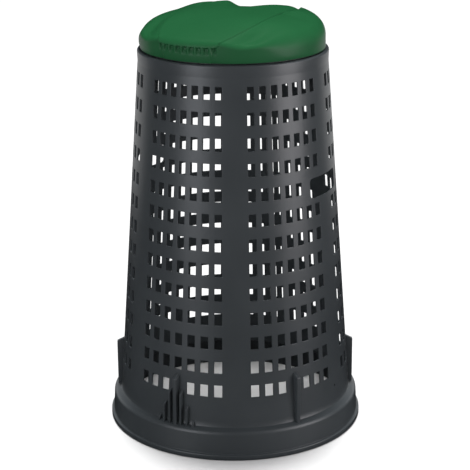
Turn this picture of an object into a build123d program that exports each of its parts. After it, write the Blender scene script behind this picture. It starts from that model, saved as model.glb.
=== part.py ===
"""Free-standing holder for garden-waste sacks: a perforated conical stand, a bag ring and a hinged lid.

Frame: millimetres, +Z up, origin at the middle of the foot ring's underside, on the ground.
The front, with the lid's finger grip and the stepped ribs, faces -Y.
An azimuth is measured from the front (-Y) towards +X, in degrees.
"""
from build123d import *
import os
from math import cos, radians, sin

# ---------------------------------------------------------------- driving dimensions
row_pitch = 48.0                 # vertical distance between two rows of slots
row_count = 13
lowest_row = 132.8               # height of the middle of the lowest row
slot_height = 24.4
slot_angle = 3.96                # degrees of arc that one slot takes
column_pitch = 7.0               # degrees of arc from one slot column to the next
side_columns = 3                 # columns of slots on each side of a field's middle column
field_pitch = 60.0               # degrees of arc from one field of seven columns to the next

wall_radius_at_top_row = 187.65  # outer radius at the middle of the top row
wall_taper = 0.0719              # radius lost for each millimetre of height
wall_thickness = 2.8
wall_foot = 62.0                 # height where the wall leaves the base flange
wall_top = 726.0                 # height where the wall turns into the collar
cutter_depth = 60.0              # through-cuts in the wall reach this far, half of it each side

foot_radius = 256.5              # outermost radius, on the foot bead
foot_width = 7.0
bead_height = 11.0
bead_round = 2.5
skirt_radius = 251.6
skirt_draft = 2.4                # the skirt is this much narrower at its top
shoulder_round = 9.0
ledge_height = 55.5              # height of the flange's top at its outer edge
ledge_rise = 4.5                 # the ledge is this much higher at the wall
root_width = 1.6                 # width of the sloping step between ledge and wall

collar_top = 760.6
collar_radius = 181.2
collar_mouth = 171.0             # radius of the collar's open mouth
collar_lip = 12.0                # the collar turns down this far inside the mouth
collar_bevel = 1.5

fin_radius = 242.0               # vertical outer edge of the stacking fins
fin_top = 160.0
fin_top_drop = 8.0               # a fin's top is this much lower at its outer edge
fin_thickness = 8.0
fin_root = 10.0                  # a fin's blank starts this far inside the wall's surface
rib_thickness = 3.6
rib_spacing = 3.0                # degrees from one stepped rib to the next
rib_step = 29.5                  # height lost from one stepped rib to the next

grip_height = (492.5, 531.0)     # lower and upper edge of a hand-grip hole
grip_half_width = 50.5
grip_corner = 7.0
grip_row = 8                     # the row of slots that the hand-grip holes interrupt
grip_clear_angle = 17.0          # that row has no slots this near, in degrees, to a hole's middle

pin_hole_radius = 2.5
pin_hole_height = 98.6
pin_hole_azimuth = 88.4

ring_gap = 0.2                   # the bag ring rests this far above the collar
ring_thickness = 2.0
ring_radius = 176.5
spigot_radius = 170.4
spigot_depth = 17.0

lid_radius = 180.0
lid_rim = 763.1
lid_crown = 839.5                # height of the dome's highest point
dome_radius = 550.0
dome_shift = 16.5                # the dome is highest this far behind the middle
lid_edge_round = 14.0
lid_thickness = 2.5
band_recess = 1.4                # the lid's middle band lies this far below its two cheeks
band_front_half = 66.0
band_back_half = 92.0
band_full_width_y = -30.0        # the band reaches its full width here
band_straight = 15.0             # length of its parallel start at the lid's front

hinge_y = 190.0
hinge_z = 770.0
knuckle_radius = 6.5
bracket_depth = 25.0             # the bracket's plate, front to back, before the ring is cut from it
bracket_middle = 185.0
pin_radius = 3.0
running_gap = 0.05
ear_inner = 32.5
ear_outer = 42.0
lug_inner = 20.0
lug_outer = 31.9
lug_radius = 6.0
lug_height = 10.0
lug_length = 18.0                # reaches from the hinge's axis into the lid's skirt
pin_head_radius = 4.5
pin_head_length = 2.0

os.makedirs("parts", exist_ok=True)


# ---------------------------------------------------------------- helpers
def wall_radius(height):
    """Outer radius of the conical wall."""
    top_row = lowest_row + (row_count - 1) * row_pitch
    return wall_radius_at_top_row + wall_taper * (top_row - height)


def turn(azimuth):
    """Mathematical angle about +Z of an azimuth."""
    return azimuth - 90.0


def radial_plane(azimuth):
    """Plane that holds the vertical axis: local x runs outwards, local y runs up."""
    angle = radians(turn(azimuth))
    return Plane(origin=(0, 0, 0), x_dir=(cos(angle), sin(angle), 0), z_dir=(sin(angle), -cos(angle), 0))


def write(builder, name):
    """Label a finished piece and write its STEP file."""
    builder.part.label = name
    export_step(builder.part, f"parts/{name}.step")


# ---------------------------------------------------------------- perforated wall, twelve panels
def slot_is_open(field, row, column):
    """Whether a field has a slot in this row (0 is the lowest) and column (-3 to 3).

    A stacking fin stands in front of each field's middle column in the lowest row, which has no slot there.
    """
    if row == 0:
        return column != 0
    if row == grip_row:
        slot_azimuth = field + column * column_pitch
        return min(abs(slot_azimuth - 90), abs(slot_azimuth - 270)) > grip_clear_angle
    return True


def wall_panel(field, columns, first_azimuth, last_azimuth):
    """The part of the cone between two azimuths, with some of a field's columns of slots."""
    with BuildPart() as panel:
        with BuildSketch(radial_plane(first_azimuth)):
            with BuildLine():
                Polyline(
                    (wall_radius(wall_foot) - wall_thickness, wall_foot),
                    (wall_radius(wall_foot), wall_foot),
                    (wall_radius(wall_top), wall_top),
                    (wall_radius(wall_top) - wall_thickness, wall_top),
                    close=True,
                )
            make_face()
        revolve(axis=Axis.Z, revolution_arc=last_azimuth - first_azimuth)
        for row in range(row_count):
            height = lowest_row + row * row_pitch
            radius = wall_radius(height)
            width = 2 * radius * sin(radians(slot_angle / 2))
            on_radius = Location((radius, 0, 0))
            places = [
                Location((0, 0, height), (0, 0, turn(field + column * column_pitch))) * on_radius
                for column in columns
                if slot_is_open(field, row, column)
            ]
            if places:
                with Locations(*places):
                    Box(cutter_depth, width, slot_height, mode=Mode.SUBTRACT)
        for side, grip_azimuth in ((1, 90), (-1, 270)):
            if first_azimuth <= grip_azimuth <= last_azimuth:
                low, high = grip_height
                with BuildPart(mode=Mode.PRIVATE) as grip:
                    with Locations((side * wall_radius(high), 0, (low + high) / 2)):
                        Box(cutter_depth, 2 * grip_half_width, high - low)
                    fillet(grip.edges().filter_by(Axis.X), grip_corner)
                add(grip.part, mode=Mode.SUBTRACT)
        for hole_azimuth in (pin_hole_azimuth, 360 - pin_hole_azimuth):
            if first_azimuth < hole_azimuth < last_azimuth:
                with Locations(Location((0, 0, pin_hole_height), (0, 0, turn(hole_azimuth)))):
                    Cylinder(
                        pin_hole_radius,
                        wall_radius(0),
                        rotation=(0, 90, 0),
                        align=(Align.CENTER, Align.CENTER, Align.MIN),
                        mode=Mode.SUBTRACT,
                    )
    return panel


# Two panels in each field meet between two of its columns, and fields meet in the middle of a plain strip.
panel_number = 1
for field in range(0, 360, int(field_pitch)):
    start = field - column_pitch / 2
    end = field + field_pitch / 2
    write(wall_panel(field, range(0, side_columns + 1), start, end), f"wall_panel_{panel_number:02d}")
    next_field = field + int(field_pitch)
    next_start = next_field - column_pitch / 2
    next_panel = wall_panel(next_field, range(-side_columns, 0), end, next_start)
    write(next_panel, f"wall_panel_{panel_number + 1:02d}")
    panel_number += 2


# ---------------------------------------------------------------- collar round the mouth
with BuildPart() as top_collar:
    with BuildSketch(Plane.XZ):
        with BuildLine():
            Polyline(
                (wall_radius(wall_top), wall_top),
                (collar_radius, collar_top - collar_bevel),
                (collar_radius - collar_bevel, collar_top),
                (collar_mouth, collar_top),
                (collar_mouth, collar_top - collar_lip),
                (collar_mouth + wall_thickness, collar_top - collar_lip),
                (collar_mouth + wall_thickness, collar_top - wall_thickness),
                (collar_radius - wall_thickness, collar_top - wall_thickness),
                (wall_radius(wall_top) - wall_thickness, wall_top),
                close=True,
            )
        make_face()
    revolve(axis=Axis.Z)
write(top_collar, "top_collar")


# ---------------------------------------------------------------- base flange with its foot bead
skirt_top_radius = skirt_radius - skirt_draft
flange_outline = [
    (foot_radius - bead_round, 0),
    (foot_radius, bead_round),
    (foot_radius, bead_height - bead_round),
    (skirt_radius, bead_height),
    (skirt_top_radius, ledge_height),
    (wall_radius(wall_foot) + root_width, ledge_height + ledge_rise),
    (wall_radius(wall_foot), wall_foot),
]


def round_shoulder(face):
    """Round the outer corner between the skirt and the ledge."""
    corners = [v for v in face.vertices() if abs(v.Z - ledge_height) < 0.01]
    fillet(corners, shoulder_round)


with BuildPart() as base_flange:
    with BuildSketch(Plane.XZ) as flange_section:
        with BuildLine():
            Polyline(
                (foot_radius - foot_width, 0),
                *flange_outline,
                (wall_radius(wall_foot) - wall_thickness, wall_foot),
                (wall_radius(wall_foot) - wall_thickness, ledge_height + ledge_rise - wall_thickness),
                (skirt_top_radius - wall_thickness, ledge_height - wall_thickness),
                (skirt_radius - wall_thickness, bead_height),
                close=True,
            )
        make_face()
        round_shoulder(flange_section)
    revolve(axis=Axis.Z)
write(base_flange, "base_flange")


# ---------------------------------------------------------------- stacking fins and stepped ribs
with BuildPart() as stand_core:
    with BuildSketch(Plane.XZ) as core_section:
        with BuildLine():
            Polyline(
                (0, 0),
                *flange_outline,
                (wall_radius(wall_top), wall_top),
                (0, wall_top),
                close=True,
            )
        make_face()
        round_shoulder(core_section)
    revolve(axis=Axis.Z)


def fin(azimuth, top, thickness):
    """A radial plate that stands on the ledge, against the wall, with its top sloping down outwards."""
    with BuildPart() as plate:
        with BuildSketch(radial_plane(azimuth)):
            with BuildLine():
                Polyline(
                    (wall_radius(top) - fin_root, ledge_height),
                    (fin_radius, ledge_height),
                    (fin_radius, top - fin_top_drop),
                    (wall_radius(top), top),
                    (wall_radius(top) - fin_root, top),
                    close=True,
                )
            make_face()
        extrude(amount=thickness / 2, both=True)
        add(stand_core.part, mode=Mode.SUBTRACT)
    return plate


fin_names = {
    0: "stacking_fin_front",
    60: "stacking_fin_front_right",
    120: "stacking_fin_back_right",
    180: "stacking_fin_back",
    -120: "stacking_fin_back_left",
    -60: "stacking_fin_front_left",
}
for azimuth, name in fin_names.items():
    write(fin(azimuth, fin_top, fin_thickness), name)

for step in (1, 2, 3):
    for side, side_name in ((-1, "left"), (1, "right")):
        rib = fin(side * step * rib_spacing, fin_top - step * rib_step, rib_thickness)
        write(rib, f"step_rib_{side_name}_{step}")


# ---------------------------------------------------------------- bag ring with its hinge bracket
ring_bottom = collar_top + ring_gap
ring_top = ring_bottom + ring_thickness

with BuildPart() as bag_ring:
    with BuildSketch(Plane.XZ):
        with BuildLine():
            Polyline(
                (spigot_radius - ring_thickness, ring_bottom - spigot_depth),
                (spigot_radius, ring_bottom - spigot_depth),
                (spigot_radius, ring_bottom),
                (ring_radius, ring_bottom),
                (ring_radius, ring_top),
                (spigot_radius - ring_thickness, ring_top),
                close=True,
            )
        make_face()
    revolve(axis=Axis.Z)
write(bag_ring, "bag_ring")

with BuildPart() as hinge_bracket:
    with BuildSketch(Plane.XY.offset(ring_bottom)):
        with Locations((0, bracket_middle)):
            Rectangle(2 * ear_outer, bracket_depth)
        Circle(ring_radius, mode=Mode.SUBTRACT)
    extrude(amount=ring_thickness)
    for side in (-1, 1):
        with BuildSketch(Plane.YZ.offset(side * (ear_inner + ear_outer) / 2)):
            with Locations((hinge_y, hinge_z)):
                Circle(knuckle_radius)
            with Locations((hinge_y, (ring_bottom + hinge_z) / 2)):
                Rectangle(2 * knuckle_radius, hinge_z - ring_bottom)
        extrude(amount=(ear_outer - ear_inner) / 2, both=True)
    with Locations(Location((0, hinge_y, hinge_z), (0, 90, 0))):
        Cylinder(pin_radius, 2 * ear_outer, mode=Mode.SUBTRACT)
write(hinge_bracket, "hinge_bracket")

for side, side_name in ((-1, "left"), (1, "right")):
    with BuildPart() as hinge_pin:
        shank_length = ear_outer - lug_inner
        with Locations(Location((side * (lug_inner + shank_length / 2), hinge_y, hinge_z), (0, 90, 0))):
            Cylinder(pin_radius, shank_length)
        with Locations(Location((side * (ear_outer + pin_head_length / 2), hinge_y, hinge_z), (0, 90, 0))):
            Cylinder(pin_head_radius, pin_head_length)
        chamfer(hinge_pin.edges().sort_by(Axis.X)[0 if side > 0 else -1], 0.6)
    write(hinge_pin, f"hinge_pin_{side_name}")


# ---------------------------------------------------------------- lid
def lid_body(inset):
    """Solid dome that lies the given distance inside the lid's outer surface, with its rim cut level."""
    with BuildPart() as dome:
        with Locations((0, dome_shift, lid_crown - dome_radius)):
            Sphere(dome_radius - inset)
        with Locations((0, 0, lid_rim - inset)):
            Cylinder(
                lid_radius - inset,
                lid_crown,
                align=(Align.CENTER, Align.CENTER, Align.MIN),
                mode=Mode.INTERSECT,
            )
        fillet(dome.edges().filter_by(lambda e: e.center().Z > lid_rim), lid_edge_round - inset)
    return dome.part


with BuildPart() as lid_shell:
    add(lid_body(0))
    add(lid_body(lid_thickness), mode=Mode.SUBTRACT)
    with BuildPart(mode=Mode.PRIVATE) as band:
        with BuildSketch(Plane.XY.offset(lid_rim)):
            with BuildLine():
                Spline(
                    (-band_front_half, -lid_radius),
                    (-band_front_half, -lid_radius + band_straight),
                    (-band_back_half, band_full_width_y),
                    (-band_back_half, lid_radius),
                )
                Line((-band_back_half, lid_radius), (band_back_half, lid_radius))
                Spline(
                    (band_back_half, lid_radius),
                    (band_back_half, band_full_width_y),
                    (band_front_half, -lid_radius + band_straight),
                    (band_front_half, -lid_radius),
                )
                Line((band_front_half, -lid_radius), (-band_front_half, -lid_radius))
            make_face()
        extrude(amount=lid_crown - lid_rim)
        add(lid_body(band_recess), mode=Mode.SUBTRACT)
    add(band.part, mode=Mode.SUBTRACT)
write(lid_shell, "lid_shell")

with BuildPart() as lid_lugs:
    for side in (-1, 1):
        with BuildSketch(Plane.YZ.offset(side * (lug_inner + lug_outer) / 2)):
            with Locations((hinge_y, hinge_z)):
                Circle(lug_radius)
            with Locations((hinge_y - lug_length / 2, hinge_z + lug_radius - lug_height / 2)):
                Rectangle(lug_length, lug_height)
        extrude(amount=(lug_outer - lug_inner) / 2, both=True)
    with Locations(Location((0, hinge_y, hinge_z), (0, 90, 0))):
        Cylinder(pin_radius + running_gap, 2 * ear_outer, mode=Mode.SUBTRACT)
    with Locations((0, 0, hinge_z)):
        Cylinder(lid_radius, 4 * lug_height, mode=Mode.SUBTRACT)
write(lid_lugs, "lid_lugs")
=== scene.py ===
"""Looks of a free-standing garden-waste sack holder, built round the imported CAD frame.

Shapes are worked out in millimetres in the CAD's frame, and make_piece() turns them into metres.
An azimuth is measured from the front (-Y) towards +X, in degrees.
"""

from math import atan2, cos, degrees, exp, hypot, pi, radians, sin, sqrt, tan

import bmesh
import bpy
from mathutils import Matrix, Vector


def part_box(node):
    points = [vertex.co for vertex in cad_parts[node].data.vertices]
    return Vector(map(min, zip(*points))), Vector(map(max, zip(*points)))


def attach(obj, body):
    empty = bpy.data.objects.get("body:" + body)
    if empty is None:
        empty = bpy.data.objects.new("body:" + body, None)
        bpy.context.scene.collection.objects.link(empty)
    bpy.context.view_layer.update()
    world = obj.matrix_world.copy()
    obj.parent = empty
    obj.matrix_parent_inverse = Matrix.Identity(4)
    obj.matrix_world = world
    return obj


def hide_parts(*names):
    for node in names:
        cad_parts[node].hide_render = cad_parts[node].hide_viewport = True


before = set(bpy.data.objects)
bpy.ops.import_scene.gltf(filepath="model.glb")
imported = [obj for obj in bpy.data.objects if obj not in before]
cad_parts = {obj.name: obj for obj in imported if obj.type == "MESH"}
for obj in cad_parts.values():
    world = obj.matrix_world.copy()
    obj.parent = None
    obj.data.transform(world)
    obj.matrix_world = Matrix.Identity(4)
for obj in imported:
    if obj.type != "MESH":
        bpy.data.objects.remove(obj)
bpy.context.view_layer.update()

MM = 0.001


def node_box(node):
    """A CAD node's lowest and highest corner, in millimetres."""
    low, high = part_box(node)
    return low / MM, high / MM


# ---------------------------------------------------------------- sizes
wall_nodes = sorted(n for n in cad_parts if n.startswith("wall_"))
wall_boxes = [node_box(n) for n in wall_nodes]
wall_foot = min(low.z for low, high in wall_boxes)
wall_foot_radius = max(high.x for low, high in wall_boxes)
foot_radius = node_box("base_flange")[1].x
collar_radius = node_box("top_collar")[1].x
collar_top = node_box("top_collar")[1].z
fin_radius = -node_box("stacking_fin_front")[0].y
fin_top = node_box("stacking_fin_front")[1].z
ring_low, ring_high = node_box("bag_ring")
lid_low, lid_high = node_box("lid_shell")
lid_radius = lid_high.x

row_pitch = 48.0
row_count = 13
lowest_row = 132.8               # height of the middle of the lowest row of slots
row_cell_drop = 26.0             # a row's band of mesh starts this far below its middle
slot_height = 24.4
slot_angle = 3.96                # degrees of arc that one slot takes
slot_corner = 0.7
column_pitch = 7.0               # degrees of arc from one slot column to the next
side_columns = 3                 # columns of slots on each side of a field's middle column
field_pitch = 60.0               # degrees of arc from one field of seven columns to the next
wall_taper = 0.0719              # radius lost for each millimetre of height
wall_thickness = 2.8
edge_round = 0.4                 # rounding of the edges of slots and holes
edge_flat = 1.2                  # the mesh has a line this far outside a hole

grip_row = 8                     # the row of slots that the hand-grip holes interrupt
grip_low, grip_high = 492.5, 531.0
grip_half_width = 50.5
grip_corner = 7.0
pin_hole_radius = 2.5
pin_hole_height = 98.6
pin_hole_azimuth = 88.4
pin_hole_cell_drop = 8.0         # the cell of mesh round a tie hole starts this far below its middle

foot_width = 7.0                 # width of the flat ring that the holder stands on
bead_height = 10.6               # height of the bead round the foot
skirt_radius = 251.6
skirt_foot = 11.5                # height where the skirt leaves the foot bead
skirt_draft = 2.4                # the skirt is this much narrower at its top
ledge_height = 55.5              # height of the flange's top at its outer edge
ledge_rise = 4.6                 # the ledge is this much higher at the wall
ledge_inner_rise = 2.0           # the same on its underside
root_width = 1.2                 # width of the sloping step between ledge and wall

fin_thickness = 8.0
fin_top_drop = 8.0               # a fin's top is this much lower at its outer edge
fin_root = 1.5                   # a fin reaches this far into the wall
fin_sink = 1.0                   # and this far into the ledge, at its outer edge
fin_edge = 1.0                   # rounding of a fin's edges, less on the thin ribs
rib_thickness = 3.6
rib_spacing = 3.0                # degrees from one stepped rib to the next
rib_step = 29.5                  # height lost from one stepped rib to the next

collar_mouth = 171.0             # radius of the collar's open mouth
collar_lip = 12.0                # the collar turns down this far inside the mouth
collar_neck = 6.0                # height over which the wall bends into the collar
neck_draw = 0.6                  # the neck is this much narrower at its top
spigot_radius = 170.4
ring_thickness = 2.0

CELL_STEPS = 6                   # mesh steps across a slot's cell, and up it
STRIP_STEPS = 8                  # mesh steps across the plain strip between two fields
PLAIN_FOOT_STEPS = 3             # mesh steps up the plain foot of the wall, below the tie holes
PIN_HOLE_RINGS = 5               # rings of mesh between a tie hole and its cell's border


def wall_radius(height):
    """Outer radius of the conical wall."""
    return wall_foot_radius + wall_taper * (wall_foot - height)


def on_wall(azimuth, radius, height, aside=0.0):
    """Point at a radius and height, moved sideways along the tangent."""
    a = radians(azimuth)
    outwards = sqrt(radius * radius - aside * aside)
    return (outwards * sin(a) + aside * cos(a), -outwards * cos(a) + aside * sin(a), height)


# ---------------------------------------------------------------- mesh tools
class Surface:
    """Collects the points and faces of one mesh."""

    def __init__(self):
        self.points = []
        self.faces = []

    def add(self, point):
        self.points.append(point)
        return len(self.points) - 1

    def row(self, points):
        """Add a row of points, and return their numbers."""
        return [self.add(p) for p in points]

    def strip(self, a, b):
        """Faces between two closed rows of as many points."""
        for k in range(len(a)):
            n = (k + 1) % len(a)
            self.faces.append((a[k], a[n], b[n], b[k]))


def make_piece(name, points, faces, body, material, replaced=(), sharp=40):
    """A mesh piece from points in millimetres, which rides on a body and stands for CAD nodes."""
    mesh = bpy.data.meshes.new(name)
    mesh.from_pydata([Vector(p) * MM for p in points], [], faces)
    tidy = bmesh.new()
    tidy.from_mesh(mesh)
    bmesh.ops.recalc_face_normals(tidy, faces=tidy.faces)
    tidy.to_mesh(mesh)
    tidy.free()
    mesh.shade_smooth()
    mesh.set_sharp_from_angle(angle=radians(sharp))
    mesh.materials.append(material)
    piece = bpy.data.objects.new(name, mesh)
    bpy.context.scene.collection.objects.link(piece)
    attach(piece, body)
    if replaced:
        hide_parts(*replaced)


def rounded_profile(corners, steps=5):
    """A section line through corners (radius, height, rounding), with each corner but the ends rounded."""
    line = []
    for before, here, after in zip(corners, corners[1:], corners[2:]):
        p = Vector(here[:2])
        back = (Vector(before[:2]) - p).normalized()
        ahead = (Vector(after[:2]) - p).normalized()
        half = back.angle(ahead) / 2
        centre = p + (back + ahead).normalized() * here[2] / sin(half)
        start = p + back * here[2] / tan(half) - centre
        swing = (pi - 2 * half) * (1 if back.x * ahead.y - back.y * ahead.x < 0 else -1)
        for s in range(steps + 1):
            line.append(centre + Matrix.Rotation(swing * s / steps, 2) @ start)
    return [Vector(corners[0][:2])] + line + [Vector(corners[-1][:2])]


def revolve(corners, steps=240):
    """A closed ring of section corners turned about the vertical axis."""
    section = rounded_profile([corners[-1]] + corners + [corners[0]])[1:-1]
    surface = Surface()
    rows = []
    for r, z in section:
        rows.append(surface.row(on_wall(360 * k / steps, r, z) for k in range(steps)))
    for a, b in zip(rows, rows[1:] + rows[:1]):
        surface.strip(a, b)
    return surface


# ---------------------------------------------------------------- materials
def moulded_plastic(name, colour, roughness, shine, grain, mottle):
    """Injection-moulded plastic: satin, with a fine eroded grain and faint flow marks."""
    material = bpy.data.materials.new(name)
    material.use_nodes = True
    nodes, links = material.node_tree.nodes, material.node_tree.links
    shader = nodes["Principled BSDF"]
    shader.inputs["IOR"].default_value = 1.49
    shader.inputs["Specular IOR Level"].default_value = shine

    place = nodes.new("ShaderNodeTexCoord")
    flow = nodes.new("ShaderNodeTexNoise")
    flow.inputs["Scale"].default_value = 7.0
    flow.inputs["Detail"].default_value = 4.0
    fine = nodes.new("ShaderNodeTexNoise")
    fine.inputs["Scale"].default_value = 900.0
    fine.inputs["Detail"].default_value = 3.0
    for noise in (flow, fine):
        links.new(place.outputs["Object"], noise.inputs["Vector"])

    tint = nodes.new("ShaderNodeValToRGB")
    tint.color_ramp.elements[0].position = 0.3
    tint.color_ramp.elements[1].position = 0.7
    tint.color_ramp.elements[0].color = [c * (1 - mottle) for c in colour] + [1]
    tint.color_ramp.elements[1].color = [c * (1 + mottle) for c in colour] + [1]
    links.new(flow.outputs["Fac"], tint.inputs["Fac"])
    links.new(tint.outputs["Color"], shader.inputs["Base Color"])

    gloss = nodes.new("ShaderNodeMapRange")
    gloss.inputs["From Min"].default_value = 0.3
    gloss.inputs["From Max"].default_value = 0.7
    gloss.inputs["To Min"].default_value = roughness - 0.03
    gloss.inputs["To Max"].default_value = roughness + 0.04
    links.new(flow.outputs["Fac"], gloss.inputs["Value"])
    links.new(gloss.outputs["Result"], shader.inputs["Roughness"])

    bump = nodes.new("ShaderNodeBump")
    bump.inputs["Strength"].default_value = grain
    bump.inputs["Distance"].default_value = 0.0002
    links.new(fine.outputs["Fac"], bump.inputs["Height"])
    links.new(bump.outputs["Normal"], shader.inputs["Normal"])
    return material


stand_plastic = moulded_plastic("anthracite_plastic", (0.0220, 0.0257, 0.0282), 0.36, 0.50, 0.25, 0.10)
ring_plastic = moulded_plastic("anthracite_ring_plastic", (0.0225, 0.0240, 0.0260), 0.42, 0.50, 0.25, 0.10)
pin_plastic = moulded_plastic("black_acetal", (0.012, 0.012, 0.012), 0.30, 0.50, 0.10, 0.08)
lid_plastic = moulded_plastic("green_plastic", (0.0060, 0.049, 0.0165), 0.42, 0.16, 0.25, 0.07)


# ---------------------------------------------------------------- the stand's moulding
def hole_outline(across, up, half_width, half_height, corner, grow):
    """Outline of a hole with rounded corners, with as many points as the mesh cell round it."""
    x, y = half_width - corner, half_height - corner
    centres = [(-x, -y), (x, -y), (x, y), (-x, y)]
    reach = corner + grow
    outline = []
    for side, steps in enumerate((across, up, across, up)):
        (ax, ay), (bx, by) = centres[side], centres[(side + 1) % 4]
        arc = 2 if x > 0 else steps // 2
        for s in range(steps):
            share = min(max((s - arc) / max(steps - 2 * arc, 1), 0), 1)
            turned = 45 * (min(s / arc, 1) - 1 + max(1 - (steps - s) / arc, 0))
            angle = radians(270 + 90 * side + turned)
            centre_x = ax + (bx - ax) * share
            centre_y = ay + (by - ay) * share
            outline.append((centre_x + reach * cos(angle), centre_y + reach * sin(angle)))
    return outline


hole_section = [
    (edge_flat, 0.0),
    (edge_round, 0.0),
    (0.3 * edge_round, 0.3 * edge_round),
    (0.0, edge_round),
    (0.0, wall_thickness - edge_round),
    (0.3 * edge_round, wall_thickness - 0.3 * edge_round),
    (edge_round, wall_thickness),
    (edge_flat, wall_thickness),
]


class Stand(Surface):
    """The wall on a grid of mesh lines, with its holes, from which the collar and the foot go on."""

    def __init__(self):
        super().__init__()
        self.azimuths = []
        self.column_starts = {}
        field_width = (2 * side_columns + 1) * column_pitch
        strip = field_pitch - field_width
        for field in range(0, 360, int(field_pitch)):
            for column in range(-side_columns, side_columns + 1):
                self.column_starts[field, column] = len(self.azimuths)
                start = field + (column - 0.5) * column_pitch
                self.azimuths += [start + column_pitch * k / CELL_STEPS for k in range(CELL_STEPS)]
            start = field + field_width / 2
            self.azimuths += [start + strip * k / STRIP_STEPS for k in range(STRIP_STEPS)]
        self.heights = [wall_foot]
        self.corners = {}

    def corner(self, i, j, depth):
        """The grid point on mesh lines i and j, at a depth below the wall's outer face."""
        key = (i % len(self.azimuths), j, depth)
        if key not in self.corners:
            height = self.heights[j]
            point = on_wall(self.azimuths[key[0]], wall_radius(height) - depth, height)
            self.corners[key] = self.add(point)
        return self.corners[key]

    def grid_row(self, j, depth):
        """All the grid points along mesh line j, once round the wall."""
        return [self.corner(i, j, depth) for i in range(len(self.azimuths))]

    def add_band(self, top, steps):
        """Mesh lines up to a height. Returns the band's first and last line."""
        first = len(self.heights) - 1
        bottom = self.heights[-1]
        self.heights += [bottom + (top - bottom) * (k + 1) / steps for k in range(steps)]
        return first, first + steps

    def plain(self, i0, i1, j0, j1):
        """Fill the wall between mesh lines, on both of its faces."""
        for depth in (0.0, wall_thickness):
            for i in range(i0, i1):
                for j in range(j0, j1):
                    loop = [(i, j), (i + 1, j), (i + 1, j + 1), (i, j + 1)]
                    self.faces.append(tuple(self.corner(a, b, depth) for a, b in loop))

    def hole(self, i0, i1, j0, j1, azimuth, height, half_width, half_height, corner, rings=0):
        """Fill the cell between mesh lines round a hole through the wall, with rounded edges.

        Where the cell is much larger than the hole, rings of points between them keep its faces short.
        """
        loop = [(i, j0) for i in range(i0, i1)] + [(i1, j) for j in range(j0, j1)]
        loop += [(i, j1) for i in range(i1, i0, -1)] + [(i0, j) for j in range(j1, j0, -1)]
        border = []
        for i, j in loop:
            aside = wall_radius(self.heights[j]) * sin(radians(self.azimuths[i] - azimuth))
            border.append((aside, self.heights[j] - height))

        def outline_row(outline, depth):
            return self.row(
                on_wall(azimuth, wall_radius(height + y) - depth, height + y, x) for x, y in outline
            )

        def ring_rows(shares, depth):
            near = hole_outline(i1 - i0, j1 - j0, half_width, half_height, corner, edge_flat)
            for share in shares:
                blend = [(x + (u - x) * share, y + (v - y) * share) for (x, y), (u, v) in zip(near, border)]
                yield outline_row(blend, depth)

        # The rings are closer together near the hole.
        outwards = [((k + 1) / (rings + 1)) ** 1.5 for k in range(rings)]
        rows = [[self.corner(i, j, 0.0) for i, j in loop]]
        rows += ring_rows(outwards[::-1], 0.0)
        for grow, depth in hole_section:
            outline = hole_outline(i1 - i0, j1 - j0, half_width, half_height, corner, grow)
            rows.append(outline_row(outline, depth))
        rows += ring_rows(outwards, wall_thickness)
        rows.append([self.corner(i, j, wall_thickness) for i, j in loop])
        for a, b in zip(rows, rows[1:]):
            self.strip(a, b)


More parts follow.
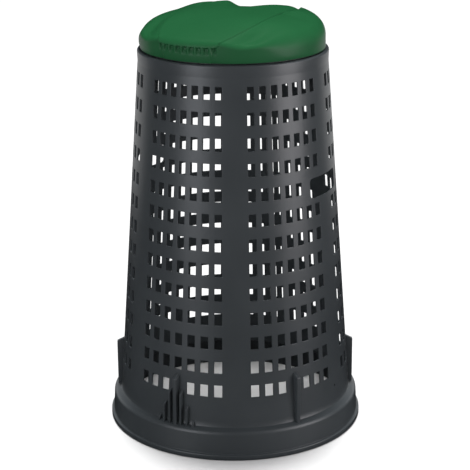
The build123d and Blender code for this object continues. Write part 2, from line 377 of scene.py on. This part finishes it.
def perforated_stand():
    """Wall, collar and foot in one closed mesh."""
    stand = Stand()
    line_count = len(stand.azimuths)
    strips = [(60, 120, 1), (240, 300, -1)]  # the fields beside each side strip, and the strip's side

    first, last = stand.add_band(pin_hole_height - pin_hole_cell_drop, PLAIN_FOOT_STEPS)
    stand.plain(0, line_count, first, last)

    first, last = stand.add_band(lowest_row - row_cell_drop, CELL_STEPS)
    begin = 0
    for before, after, side in strips:
        i0 = stand.column_starts[before, side_columns] + CELL_STEPS
        i1 = stand.column_starts[after, -side_columns]
        stand.plain(begin, i0, first, last)
        stand.hole(
            i0, i1, first, last, side * pin_hole_azimuth, pin_hole_height,
            pin_hole_radius, pin_hole_radius, pin_hole_radius, rings=PIN_HOLE_RINGS,
        )
        begin = i1
    stand.plain(begin, line_count, first, last)

    for row in range(row_count):
        middle = lowest_row + row * row_pitch
        first, last = stand.add_band(middle - row_cell_drop + row_pitch, CELL_STEPS)
        half_width = wall_radius(middle) * sin(radians(slot_angle / 2))
        taken = set()
        if row == grip_row:
            for before, after, side in strips:
                i0 = stand.column_starts[before, side_columns - 1]
                i1 = stand.column_starts[after, -side_columns + 2]
                stand.hole(
                    i0, i1, first, last, side * 90, (grip_low + grip_high) / 2,
                    grip_half_width, (grip_high - grip_low) / 2, grip_corner,
                )
                taken.update(range(i0, i1))
        for (field, column), i0 in stand.column_starts.items():
            i1 = i0 + CELL_STEPS
            if i0 not in taken:
                if row == 0 and column == 0:  # a fin stands here
                    stand.plain(i0, i1, first, last)
                else:
                    azimuth = field + column * column_pitch
                    stand.hole(
                        i0, i1, first, last, azimuth, middle, half_width, slot_height / 2, slot_corner,
                    )
            if column == side_columns and i1 not in taken:
                stand.plain(i1, i1 + STRIP_STEPS, first, last)

    top = len(stand.heights) - 1
    edge = wall_radius(stand.heights[top])
    collar = rounded_profile([
        (edge, stand.heights[top], 0),
        (edge - neck_draw, stand.heights[top] + collar_neck, 25),
        (collar_radius, collar_top, 4.0),
        (collar_mouth, collar_top, 1.2),
        (collar_mouth, collar_top - collar_lip, 1.0),
        (collar_mouth + wall_thickness, collar_top - collar_lip, 1.0),
        (collar_mouth + wall_thickness, collar_top - wall_thickness, 1.0),
        (collar_radius - wall_thickness, collar_top - wall_thickness, 2.0),
        (edge - wall_thickness, stand.heights[top], 0),
    ])
    rows = [stand.grid_row(top, 0.0)]
    rows += [stand.row(on_wall(a, r, z) for a in stand.azimuths) for r, z in collar[1:-1]]
    rows.append(stand.grid_row(top, wall_thickness))
    for a, b in zip(rows, rows[1:]):
        stand.strip(a, b)

    foot = rounded_profile([
        (wall_foot_radius, wall_foot, 0),
        (wall_foot_radius + root_width, ledge_height + ledge_rise, 1.5),
        (skirt_radius - skirt_draft, ledge_height, 9.0),
        (skirt_radius, skirt_foot, 1.0),
        (foot_radius, bead_height, 2.4),
        (foot_radius, 0.0, 3.0),
        (foot_radius - foot_width, 0.0, 1.0),
        (skirt_radius - wall_thickness, skirt_foot, 3.0),
        (skirt_radius - skirt_draft - wall_thickness, ledge_height - wall_thickness, 6.0),
        (wall_foot_radius - wall_thickness, ledge_height + ledge_inner_rise, 1.5),
        (wall_foot_radius - wall_thickness, wall_foot, 0),
    ])
    rows = [stand.grid_row(0, 0.0)]
    rows += [stand.row(on_wall(a, r, z) for a in stand.azimuths) for r, z in foot[1:-1]]
    rows.append(stand.grid_row(0, wall_thickness))
    for a, b in zip(rows, rows[1:]):
        stand.strip(a, b)
    return stand


stand = perforated_stand()
make_piece(
    "stand_moulding", stand.points, stand.faces, "stand", stand_plastic,
    replaced=wall_nodes + ["top_collar", "base_flange"],
)


# ---------------------------------------------------------------- fins and ribs on the foot's ledge
def fin(name, azimuth, top, thickness):
    """A radial plate on the ledge, with rounded edges, that stands for the CAD node of its name."""
    blank = bmesh.new()
    side = [
        (wall_radius(ledge_height) - fin_root, ledge_height),
        (fin_radius, ledge_height - fin_sink),
        (fin_radius, top - fin_top_drop),
        (wall_radius(top) - fin_root, top),
    ]
    faces = []
    for aside in (-thickness / 2, thickness / 2):
        corners = [blank.verts.new(on_wall(azimuth, r, z, aside)) for r, z in side]
        faces.append(corners)
        blank.faces.new(corners)
    for k in range(len(side)):
        n = (k + 1) % len(side)
        blank.faces.new((faces[0][k], faces[0][n], faces[1][n], faces[1][k]))
    bmesh.ops.recalc_face_normals(blank, faces=blank.faces)
    bmesh.ops.bevel(
        blank, geom=blank.edges, offset=min(fin_edge, thickness / 5),
        segments=3, profile=0.5, affect="EDGES",
    )
    blank.verts.ensure_lookup_table()
    blank.verts.index_update()
    points = [tuple(v.co) for v in blank.verts]
    loops = [tuple(v.index for v in f.verts) for f in blank.faces]
    blank.free()
    make_piece(f"{name}_moulded", points, loops, "stand", stand_plastic, replaced=[name])


fin_azimuths = {
    "stacking_fin_front": 0,
    "stacking_fin_front_right": 60,
    "stacking_fin_back_right": 120,
    "stacking_fin_back": 180,
    "stacking_fin_back_left": -120,
    "stacking_fin_front_left": -60,
}
for name, azimuth in fin_azimuths.items():
    fin(name, azimuth, fin_top, fin_thickness)
for step in (1, 2, 3):
    for side, side_name in ((-1, "left"), (1, "right")):
        rib_top = fin_top - step * rib_step
        fin(f"step_rib_{side_name}_{step}", side * step * rib_spacing, rib_top, rib_thickness)


# ---------------------------------------------------------------- bag ring
ring_outer = ring_high.x
ring_section = [
    (spigot_radius - ring_thickness, ring_low.z, 0.8),
    (spigot_radius, ring_low.z, 0.8),
    (spigot_radius, ring_high.z - ring_thickness, 0.6),
    (ring_outer, ring_high.z - ring_thickness, 0.8),
    (ring_outer, ring_high.z, 0.8),
    (spigot_radius - ring_thickness, ring_high.z, 1.2),
]
ring = revolve(ring_section)
make_piece(
    "bag_ring_moulded", ring.points, ring.faces, "ring", ring_plastic,
    replaced=["bag_ring"],
)


# ---------------------------------------------------------------- lid
lid_rim = lid_low.z
dome_radius = 550.0
dome_shift = 16.5                # the dome is highest this far behind the middle
dome_top = lid_high.z - 0.6      # so that the relief stays below the CAD lid's highest point
lid_wall = 2.5
side_swell = 0.8                 # the lid's side stands this much outside its rim
side_shift = 3.0                 # and this much further in front, and less behind
crease_end_azimuth = 16.4        # where the crease meets the rim
crease_end_swing = 5.3           # how far round it swings on its way up the skirt
crease_top = 798.6               # height at which it turns from the skirt onto the top
crease_reach = 200.0             # the crease is nowhere further from the axis

band_half_width = 93.0           # the middle band of the top, at its widest
band_front_start = 60.0          # it narrows in front of here
band_front_length = 106.0
band_front_less = 27.0
band_front_curve = 2.15
band_back_run = (80.0, 175.0)    # it narrows between these places behind
band_back_less = 19.0
band_stand = 2.0                 # the band stands this proud of the cheeks beside it
band_stand_width = 45.0          # a cheek has come up again this far from the crease
band_stand_length = 90.0         # and everywhere behind here
band_edge = 0.8                  # half the width of the edge between band and cheek

valley_depth = 4.0               # the valley along the crease, in the rear half
valley_width = 8.0
valley_start = (0.0, 80.0)
valley_end = (95.0, 125.0)
swell_height = 2.5               # a low swell on each side of the front
swell_middle = (90.0, -95.0)
swell_size = (35.0, 60.0)
scoop_run = (75.0, 140.0)        # distances from the axis over which the cheek's front dips
scoop_depth = 13.0
scoop_return_run = (140.0, 178.0)
scoop_return = 4.0               # how much of that it comes back up
scoop_edge = 30.0                # width over which the dip starts beside the crease
scoop_azimuth = 36.0
scoop_spread = 20.0              # degrees
cheek_rise = 5.5                 # the cheek is this much higher behind
cheek_rise_run = (101.0, 122.0)  # azimuths over which it rises
dish_run = (-10.0, 80.0)         # the band's middle sinks between these places, front to back
dish_depth = 8.0
dish_start = 17.0                # from here back the dish widens
dish_slope = 0.45
dish_side = 32.0                 # width of the dish's sloping side
dish_side_rise = 12.0
dish_side_fade = 0.6             # share of that slope which is lost at the back
dish_fade_run = (100.0, 135.0)

grip_notches = 9
notch_pitch = 4.5                # degrees of arc
notch_edge = (1.0, 1.9)          # degrees from a notch's middle to the start and end of its side
notch_low, notch_high = 776.0, 792.5
notch_low_run = 13.0             # height over which a notch deepens upwards
notch_high_run = 1.5             # height over which it ends at the top
notch_depth = 5.0

front_run = (42.0, 66.0)         # azimuths between the lid's tight front edge and its wide rear one
cheek_run = (15.0, 24.0)         # azimuths between the band's front edge and the cheek's
edge_width = 36.0                # the rounded edge between top and side, behind
edge_width_front = 21.0          # how much less it is in front
edge_width_cheek = 8.0           # and how much less again at a cheek
edge_drop = 30.0                 # its height, and how much less that is
edge_drop_front = 17.0
edge_drop_cheek = 6.0
edge_power = 2 / 2.4             # a section a little squarer than a quarter of an ellipse
groove_half = 3.5                # the rings are closer together this near the crease
groove_gap = 6.0                 # and the crease stays this far inside the rounded edge

LID_AROUND = 1080
LID_INNER_EVERY = 3              # the inner skin has every third ring of the outer one
LID_TOP_RINGS = (34, 12, 14)     # inside the crease, across its groove, and outside it
LID_SHOULDER_RINGS = 18
LID_SKIRT_RINGS = 22


def blend_step(low, high, value):
    """0 below low, 1 above high, and smooth between."""
    t = min(max((value - low) / (high - low), 0.0), 1.0)
    return t * t * (3 - 2 * t)


def bell(value, middle, width):
    """1 at the middle, and smoothly to 0 on both sides."""
    return exp(-((value - middle) / width) ** 2)


def crease_half_width(y):
    """Half the width of the middle band between the two cheeks."""
    along = max(-(y + band_front_start) / band_front_length, 0.0)
    front = band_front_less * along ** band_front_curve
    back = band_back_less * blend_step(*band_back_run, y)
    return band_half_width - front - back


def lid_outline(azimuth):
    """Radius of the lid's side at mid-height: fuller in front, with a draft behind."""
    return lid_radius + side_swell + side_shift * cos(radians(azimuth))


def lid_top(x, y):
    """Height of the lid's top before its edge is rounded."""
    radius = hypot(x, y)
    azimuth = abs(degrees(atan2(x, -y)))
    height = dome_top - dome_radius + sqrt(dome_radius ** 2 - x * x - (y - dome_shift) ** 2)
    outside = abs(x) - crease_half_width(y)
    valley = valley_depth * bell(outside, 0.0, valley_width)
    valley *= blend_step(*valley_start, y)
    valley *= 1 - blend_step(*valley_end, y)
    swell = swell_height * bell(abs(x), swell_middle[0], swell_size[0])
    height += swell * bell(y, swell_middle[1], swell_size[1])
    if outside > 0:
        scoop = scoop_depth * blend_step(*scoop_run, radius)
        scoop -= scoop_return * blend_step(*scoop_return_run, radius)
        scoop *= blend_step(0.0, scoop_edge, outside)
        scoop *= bell(azimuth, scoop_azimuth, scoop_spread)
        return height - valley + cheek_rise * blend_step(*cheek_rise_run, azimuth) - scoop
    dish = max(dish_slope * (y - dish_start), 0.0)
    side = blend_step(dish, dish + dish_side, abs(x)) * (1 - dish_side_fade * blend_step(*dish_fade_run, y))
    return height - valley + blend_step(*dish_run, y) * (dish_side_rise * side - dish_depth)


def lid_relief(x, y, height):
    """How far the cheeks lie below the band's edge, and how deep the grip's notches are."""
    azimuth = abs(degrees(atan2(x, -y)))
    if height > crease_top or azimuth > 90:
        from_crease = abs(x) - crease_half_width(y)
    else:
        rise = max(height - lid_rim, 0.0) / (crease_top - lid_rim)
        crease_azimuth = crease_end_azimuth + crease_end_swing * rise ** 3
        from_crease = radians(azimuth - crease_azimuth) * lid_radius
    step = band_stand * blend_step(-band_edge, band_edge, from_crease)
    step *= (
        (1 - blend_step(0.0, band_stand_width, from_crease)) * (1 - blend_step(0.0, band_stand_length, y))
    )
    if azimuth > notch_pitch * grip_notches / 2:
        return step
    off_middle = (azimuth + notch_pitch / 2) % notch_pitch - notch_pitch / 2
    tall = blend_step(notch_low, notch_low + notch_low_run, height)
    tall *= blend_step(-notch_high, notch_high_run - notch_high, -height)
    return step + notch_depth * tall * (1 - blend_step(*notch_edge, abs(off_middle)))


def lid_rings(azimuth):
    """The skin's section at an azimuth, as a list of (radius, height, lean of its normal)."""
    a = radians(azimuth)
    outline = lid_outline(azimuth)
    front = 1 - blend_step(*front_run, abs(azimuth))
    cheek = front * blend_step(*cheek_run, abs(azimuth))
    rounding = edge_width - edge_width_front * front - edge_width_cheek * cheek
    drop = edge_drop - edge_drop_front * front - edge_drop_cheek * cheek
    inner = outline - rounding

    low, high = 0.0, crease_reach
    for halving in range(30):
        crossing = (low + high) / 2
        if crossing * abs(sin(a)) < crease_half_width(-crossing * cos(a)):
            low = crossing
        else:
            high = crossing
    crossing = min(crossing, inner - groove_gap)
    radii = []
    stops = (0.0, crossing - groove_half, crossing + groove_half, inner)
    for count, start, end in zip(LID_TOP_RINGS, stops, stops[1:]):
        radii += [start + (end - start) * (k + 1) / count for k in range(count)]
    rings = [(r, lid_top(r * sin(a), -r * cos(a)), 0.0) for r in radii]

    for k in range(LID_SHOULDER_RINGS):
        turn = pi / 2 * (k + 1) / LID_SHOULDER_RINGS
        r = inner + rounding * sin(turn) ** edge_power
        down = drop * (1 - cos(turn) ** edge_power)
        rings.append((r, lid_top(r * sin(a), -r * cos(a)) - down, turn))
    edge = rings[-1][1]
    for k in range(LID_SKIRT_RINGS):
        down = (k + 1) / LID_SKIRT_RINGS
        r = outline + (lid_radius - outline) * down ** 2
        rings.append((r, edge + (lid_rim - edge) * down, pi / 2))
    return rings


def lid_mesh():
    """The lid as one closed mesh: an outer and an inner skin that meet at the rim."""
    surface = Surface()
    sections = []
    azimuths = [360.0 * k / LID_AROUND - 180.0 for k in range(LID_AROUND)]
    for azimuth in azimuths:
        sections.append(lid_rings(azimuth))
    last = len(sections[0]) - 1
    rims = []
    for thickness, every in ((0.0, 1), (lid_wall, LID_INNER_EVERY)):
        skin = []
        for ring in list(range(last, 0, -every))[::-1]:
            points = []
            for azimuth, section in zip(azimuths, sections):
                a = radians(azimuth)
                r, height, lean = section[ring]
                sink = thickness + lid_relief(r * sin(a), -r * cos(a), height)
                r -= sink * sin(lean)
                if ring != last:
                    height -= sink * cos(lean)
                points.append((r * sin(a), -r * cos(a), height))
            skin.append(surface.row(points))
        middle = surface.add((0.0, 0.0, lid_top(0.0, 0.0) - thickness))
        for k in range(LID_AROUND):
            surface.faces.append((middle, skin[0][k], skin[0][(k + 1) % LID_AROUND]))
        for a, b in zip(skin, skin[1:]):
            surface.strip(a, b)
        rims.append(skin[-1])
    surface.strip(*rims)
    return surface


lid = lid_mesh()
make_piece(
    "lid_moulded", lid.points, lid.faces, "lid", lid_plastic,
    replaced=["lid_shell"], sharp=60,
)


# ---------------------------------------------------------------- hinge, from the CAD
def finish_node(node, material, round_off):
    """Give a CAD node its plastic, and round its edges by so many millimetres."""
    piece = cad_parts[node]
    piece.data.materials.clear()
    piece.data.materials.append(material)
    weld = piece.modifiers.new("weld", "WELD")
    weld.merge_threshold = 0.00001
    bevel = piece.modifiers.new("round", "BEVEL")
    bevel.width = round_off * MM
    bevel.segments = 2
    bevel.limit_method = "ANGLE"
    bevel.angle_limit = radians(40)


finish_node("hinge_bracket", ring_plastic, 0.6)
finish_node("lid_lugs", lid_plastic, 0.6)
finish_node("hinge_pin_left", pin_plastic, 0.3)
finish_node("hinge_pin_right", pin_plastic, 0.3)


# ---------------------------------------------------------------- camera
camera_azimuth = 29.275
camera_distance = 2.976          # metres from the holder's axis, on the ground
camera_height = 1.3352           # metres
camera_pitch = 17.855            # degrees below the horizon
camera_roll = -0.3727
camera_shift = (0.00136, 0.00076)  # metres that the camera is moved by, in x and y

camera_data = bpy.data.cameras.new("camera")
camera_data.sensor_width = 36.0
camera_data.lens = 118.81
camera = bpy.data.objects.new("camera", camera_data)
bpy.context.scene.collection.objects.link(camera)
bpy.context.scene.camera = camera
camera.location = (
    camera_distance * sin(radians(camera_azimuth)) + camera_shift[0],
    -camera_distance * cos(radians(camera_azimuth)) + camera_shift[1],
    camera_height,
)
turned = Matrix.Rotation(radians(camera_azimuth), 4, "Z")
tipped = Matrix.Rotation(radians(90 - camera_pitch), 4, "X")
rolled = Matrix.Rotation(radians(camera_roll), 4, "Z")
camera.rotation_euler = (turned @ tipped @ rolled).to_euler()


# ---------------------------------------------------------------- floor and light
# Lengths are in metres here, angles in degrees, and the powers of softboxes in watts.
holder_middle = 0.85             # height that the softboxes face at most
floor_half = 30.0
floor_grey = 0.36
white = (1.0, 1.0, 1.0)


def plain_floor():
    """A wide, matt grey floor. Gloss does not see it."""
    mesh = bpy.data.meshes.new("floor")
    signs = ((-1, -1), (1, -1), (1, 1), (-1, 1))
    mesh.from_pydata([(u * floor_half, v * floor_half, 0) for u, v in signs], [], [(0, 1, 2, 3)])
    material = bpy.data.materials.new("pale_floor")
    material.use_nodes = True
    shader = material.node_tree.nodes["Principled BSDF"]
    shader.inputs["Base Color"].default_value = (floor_grey, floor_grey, floor_grey, 1)
    shader.inputs["Roughness"].default_value = 0.9
    shader.inputs["Specular IOR Level"].default_value = 0.1
    mesh.materials.append(material)
    floor = bpy.data.objects.new("floor", mesh)
    floor.visible_glossy = False
    bpy.context.scene.collection.objects.link(floor)


def soft_light(name, azimuth, distance, height, width, tall, power, colour):
    """A rectangular softbox that faces the holder's middle, or straight across where it hangs lower."""
    data = bpy.data.lights.new(name, "AREA")
    data.shape = "RECTANGLE"
    data.size = width
    data.size_y = tall
    data.energy = power
    data.color = colour
    light = bpy.data.objects.new(name, data)
    light.visible_camera = False
    bpy.context.scene.collection.objects.link(light)
    a = radians(azimuth)
    light.location = (distance * sin(a), -distance * cos(a), height)
    toward = Vector((0, 0, min(height, holder_middle))) - light.location
    light.rotation_euler = toward.to_track_quat("-Z", "Y").to_euler()


def inside_light(height, diameter, spread, power):
    """A weak disc under the lid that faces down. It stands in for light that the slots let in."""
    data = bpy.data.lights.new("soft_inside", "AREA")
    data.shape = "DISK"
    data.size = diameter
    data.spread = radians(spread)
    data.energy = power
    light = bpy.data.objects.new("soft_inside", data)
    light.visible_camera = False
    light.visible_glossy = False
    light.location = (0, 0, height)
    bpy.context.scene.collection.objects.link(light)


def overhead_light(azimuth, lean, strength, spread):
    """A light from above, tipped towards an azimuth and even over the floor. Gloss does not see it."""
    data = bpy.data.lights.new("soft_overhead", "SUN")
    data.energy = strength
    data.angle = radians(spread)
    light = bpy.data.objects.new("soft_overhead", data)
    light.visible_glossy = False
    bpy.context.scene.collection.objects.link(light)
    a, tilt = radians(azimuth), radians(lean)
    source = Vector((sin(a) * sin(tilt), -cos(a) * sin(tilt), cos(tilt)))
    light.rotation_euler = source.to_track_quat("Z", "Y").to_euler()


plain_floor()
soft_light("soft_left", camera_azimuth - 42, 2.0, 1.05, 0.9, 1.9, 19, (0.92, 0.94, 1.0))
soft_light("soft_right", camera_azimuth + 65, 2.0, 1.05, 1.1, 1.9, 31, (1.0, 0.97, 1.0))
soft_light("rim_left", camera_azimuth - 140, 2.0, 0.4, 1.6, 0.8, 3.2, white)
soft_light("rim_right", camera_azimuth + 145, 2.0, 0.4, 1.6, 0.8, 3.6, white)
soft_light("soft_back", camera_azimuth + 180, 0.8, 3.0, 1.4, 0.7, 5, white)
inside_light(height=0.73, diameter=0.3, spread=80, power=1.0)
overhead_light(camera_azimuth + 180, lean=10, strength=6.6, spread=9)

world = bpy.data.worlds.new("studio")
bpy.context.scene.world = world
world.use_nodes = True
world.cycles_visibility.glossy = False
world.node_tree.nodes["Background"].inputs["Color"].default_value = (1, 1, 1, 1)
world.node_tree.nodes["Background"].inputs["Strength"].default_value = 1.0
bpy.context.scene.view_settings.view_transform = "Standard"
